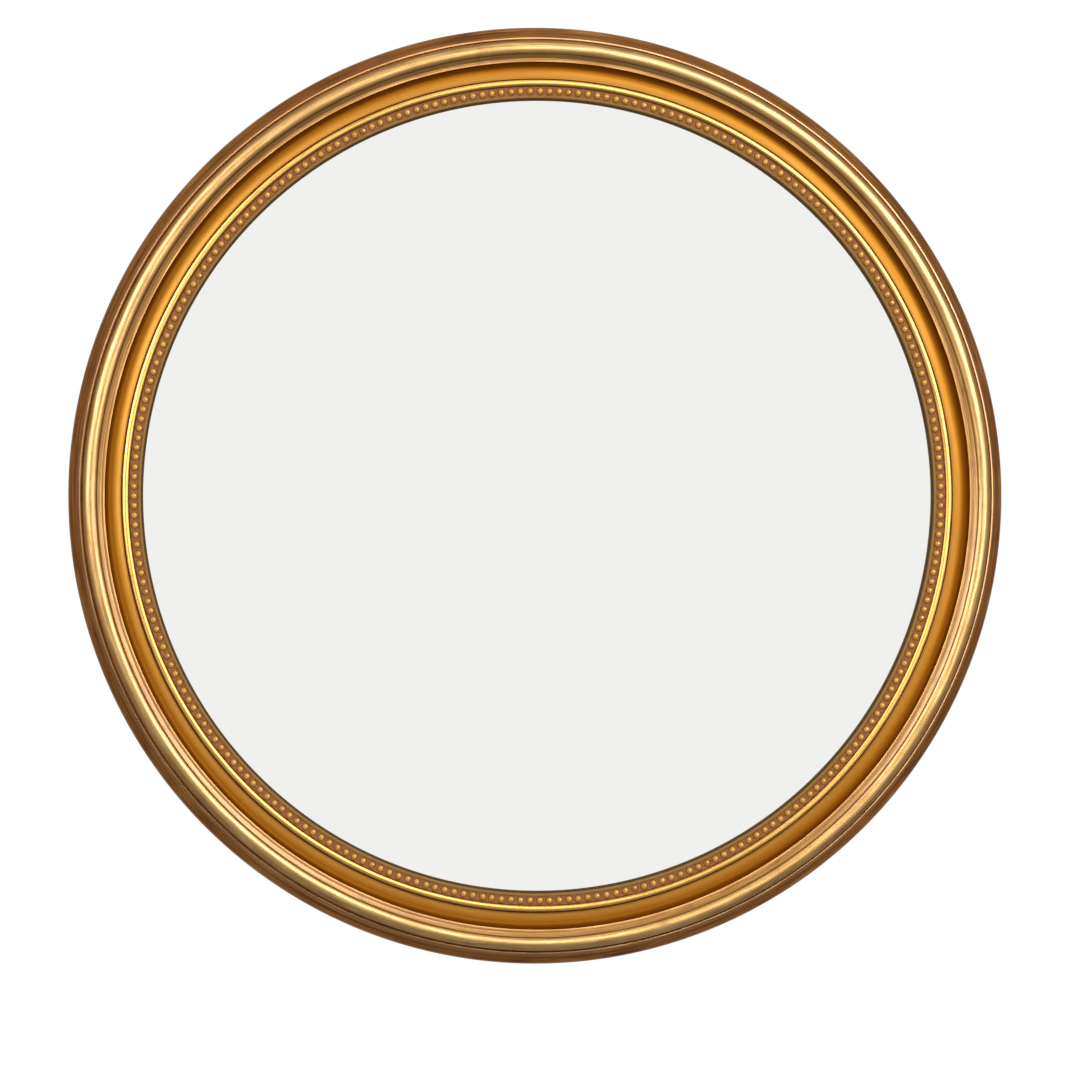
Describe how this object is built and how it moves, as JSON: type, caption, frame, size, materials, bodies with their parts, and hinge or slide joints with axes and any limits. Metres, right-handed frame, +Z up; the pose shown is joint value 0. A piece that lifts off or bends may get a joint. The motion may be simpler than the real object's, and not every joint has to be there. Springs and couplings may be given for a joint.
{
  "type": "convex wall mirror",
  "caption": "Round convex wall mirror: a domed glass in a gilt moulded frame with a beaded inner slip, closed by a board held by turn buttons, with D-ring hangers on the back.",
  "frame": {"origin": "the middle of the mirror on the wall's surface, in the plane of the bumpers' faces", "axes": "+Z up, -Y out of the wall towards the viewer, +X to the viewer's right"},
  "size_m": [0.582, 0.0571, 0.582],
  "materials": {
    "umber_paint": "umber paint on wood, satin",
    "gilding": "gold leaf on gessoed wood, with an ochre cove",
    "bright_gilding": "burnished gold leaf over red bole",
    "bead_gilding": "gold leaf on small beads",
    "mirror_glass": "silvered glass, polished",
    "bare_pine": "sawn softwood",
    "hardboard": "brown hardboard",
    "zinc": "zinc plated steel",
    "brass_plate": "brass plated steel",
    "bumper_rubber": "black rubber"
  },
  "bodies": {
    "frame": {"back_ring_segment_1": "umber_paint", "back_ring_segment_2": "umber_paint", "back_ring_segment_3": "umber_paint", "back_ring_segment_4": "umber_paint", "back_ring_segment_5": "umber_paint", "back_ring_segment_6": "umber_paint", "back_ring_segment_7": "umber_paint", "back_ring_segment_8": "umber_paint", "backing_board": "hardboard", "bead_course": "bead_gilding", "beaded_slip": "bright_gilding", "glazing_blocks": "bare_pine", "hanger_screws": "zinc", "mirror_glass": "mirror_glass", "moulding_segment_1": "gilding", "moulding_segment_2": "gilding", "moulding_segment_3": "gilding", "moulding_segment_4": "gilding", "moulding_segment_5": "gilding", "moulding_segment_6": "gilding", "moulding_segment_7": "gilding", "moulding_segment_8": "gilding", "strap_hanger_left": "brass_plate", "strap_hanger_right": "brass_plate", "turn_button_screws": "zinc", "wall_bumper_bottom_left": "bumper_rubber", "wall_bumper_bottom_right": "bumper_rubber", "wall_bumper_top_left": "bumper_rubber", "wall_bumper_top_right": "bumper_rubber"},
    "d_ring_left": {"d_ring_left": "brass_plate"},
    "d_ring_right": {"d_ring_right": "brass_plate"},
    "turn_button_bottom": {"turn_button_bottom": "zinc"},
    "turn_button_left": {"turn_button_left": "zinc"},
    "turn_button_right": {"turn_button_right": "zinc"},
    "turn_button_top": {"turn_button_top": "zinc"}
  },
  "joints": [
    {"name": "turn_button_top_turn", "type": "hinge", "parent": "frame", "child": "turn_button_top", "pos_m": [0, -0.005, 0.2735], "axis": [0, 1, 0], "continuous": true},
    {"name": "turn_button_right_turn", "type": "hinge", "parent": "frame", "child": "turn_button_right", "pos_m": [0.2735, -0.005, 0], "axis": [0, 1, 0], "continuous": true},
    {"name": "turn_button_bottom_turn", "type": "hinge", "parent": "frame", "child": "turn_button_bottom", "pos_m": [0, -0.005, -0.2735], "axis": [0, 1, 0], "continuous": true},
    {"name": "turn_button_left_turn", "type": "hinge", "parent": "frame", "child": "turn_button_left", "pos_m": [-0.2735, -0.005, 0], "axis": [0, 1, 0], "continuous": true},
    {"name": "d_ring_left_swing", "type": "hinge", "parent": "frame", "child": "d_ring_left", "pos_m": [-0.22906, -0.00289, 0.13225], "axis": [0.5, 0, 0.866], "range_deg": [0, 160]},
    {"name": "d_ring_right_swing", "type": "hinge", "parent": "frame", "child": "d_ring_right", "pos_m": [0.22906, -0.00289, 0.13225], "axis": [0.5, 0, -0.866], "range_deg": [0, 160]}
  ]
}
